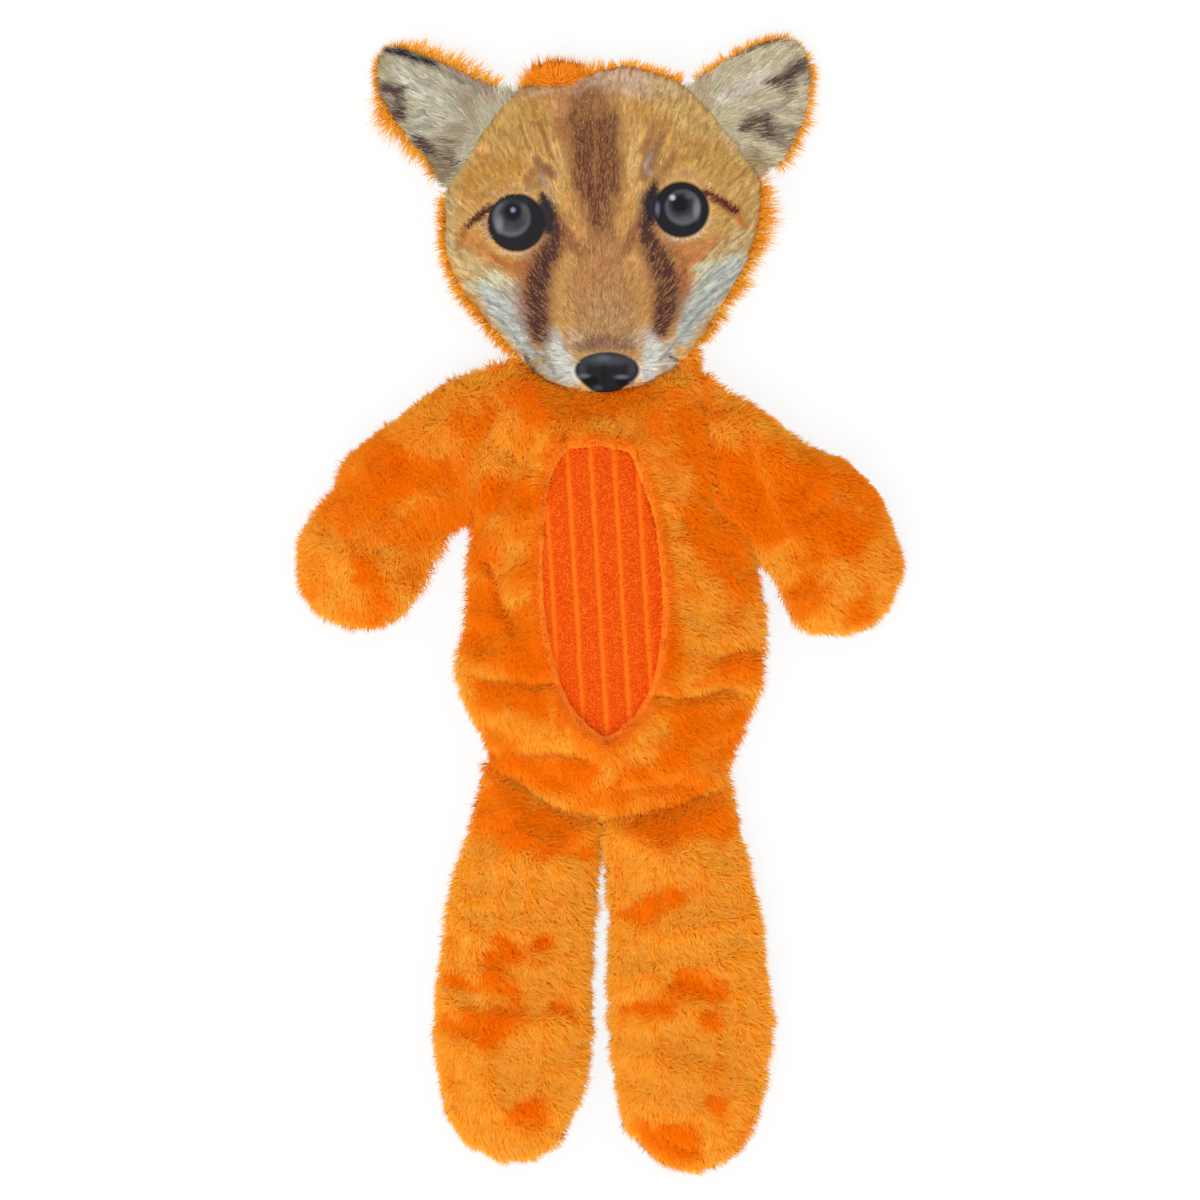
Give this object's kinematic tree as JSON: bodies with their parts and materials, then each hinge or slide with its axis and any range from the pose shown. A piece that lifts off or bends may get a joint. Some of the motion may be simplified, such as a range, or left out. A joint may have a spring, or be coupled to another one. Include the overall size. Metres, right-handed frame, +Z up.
{
  "type": "flat plush fox toy",
  "caption": "Flat long-pile plush fox lying on its back, with a printed fabric face, a ribbed belly panel and limp hinged head, ears, arms and legs.",
  "frame": {"origin": "middle of the toy's footprint, on the surface that its back lies on", "axes": "+Y along the body towards the ears, +Z up out of the face and belly, +X to the right of someone who looks down at the face"},
  "size_m": [0.238, 0.4502, 0.0304],
  "materials": {
    "plush": "long soft pile, mottled orange",
    "face_print": "short smooth pile, printed",
    "corduroy": "terry bands between smooth channels",
    "wadding": "loose polyester fibre",
    "crinkle_film": "thin crisp film",
    "squeaker": "soft blown vinyl",
    "reed": "moulded white plastic"
  },
  "bodies": {
    "torso": {"body_front": "plush", "body_back": "plush", "belly_panel": "corduroy", "body_crinkle_film": "crinkle_film", "body_squeaker_bulb": "squeaker", "body_squeaker_reed": "reed"},
    "head": {"face_panel": "face_print", "head_back": "plush", "head_filling": "wadding", "head_squeaker_bulb": "squeaker", "head_squeaker_reed": "reed"},
    "ear_left": {"ear_left_front": "face_print", "ear_left_back": "plush"},
    "ear_right": {"ear_right_front": "face_print", "ear_right_back": "plush"},
    "arm_left": {"arm_left_front": "plush", "arm_left_back": "plush", "arm_left_wadding": "wadding"},
    "arm_right": {"arm_right_front": "plush", "arm_right_back": "plush", "arm_right_wadding": "wadding"},
    "leg_left": {"leg_left_front": "plush", "leg_left_back": "plush", "leg_left_wadding": "wadding"},
    "leg_right": {"leg_right_front": "plush", "leg_right_back": "plush", "leg_right_wadding": "wadding"}
  },
  "joints": [
    {"name": "neck_fold", "type": "hinge", "parent": "torso", "child": "head", "pos_m": [0, 0.0916, 0.01], "axis": [1, 0, 0], "range_deg": [-80, 80]},
    {"name": "ear_left_fold", "type": "hinge", "parent": "head", "child": "ear_left", "pos_m": [-0.0483, 0.186, 0.01], "axis": [0.5816, 0.8135, 0], "range_deg": [-80, 90]},
    {"name": "ear_right_fold", "type": "hinge", "parent": "head", "child": "ear_right", "pos_m": [0.05125, 0.1894, 0.01], "axis": [0.6387, -0.7695, 0], "range_deg": [-80, 90]},
    {"name": "arm_left_swing", "type": "hinge", "parent": "torso", "child": "arm_left", "pos_m": [-0.044, 0.0644, 0.01], "axis": [0.2034, 0.9791, 0], "range_deg": [-90, 90]},
    {"name": "arm_right_swing", "type": "hinge", "parent": "torso", "child": "arm_right", "pos_m": [0.0506, 0.0552, 0.01], "axis": [0.2791, -0.9603, 0], "range_deg": [-90, 90]},
    {"name": "leg_left_swing", "type": "hinge", "parent": "torso", "child": "leg_left", "pos_m": [-0.03, -0.0762, 0.01], "axis": [-1, 0, 0], "range_deg": [-90, 90]},
    {"name": "leg_right_swing", "type": "hinge", "parent": "torso", "child": "leg_right", "pos_m": [0.034, -0.0801, 0.01], "axis": [-1, 0, 0], "range_deg": [-90, 90]}
  ]
}
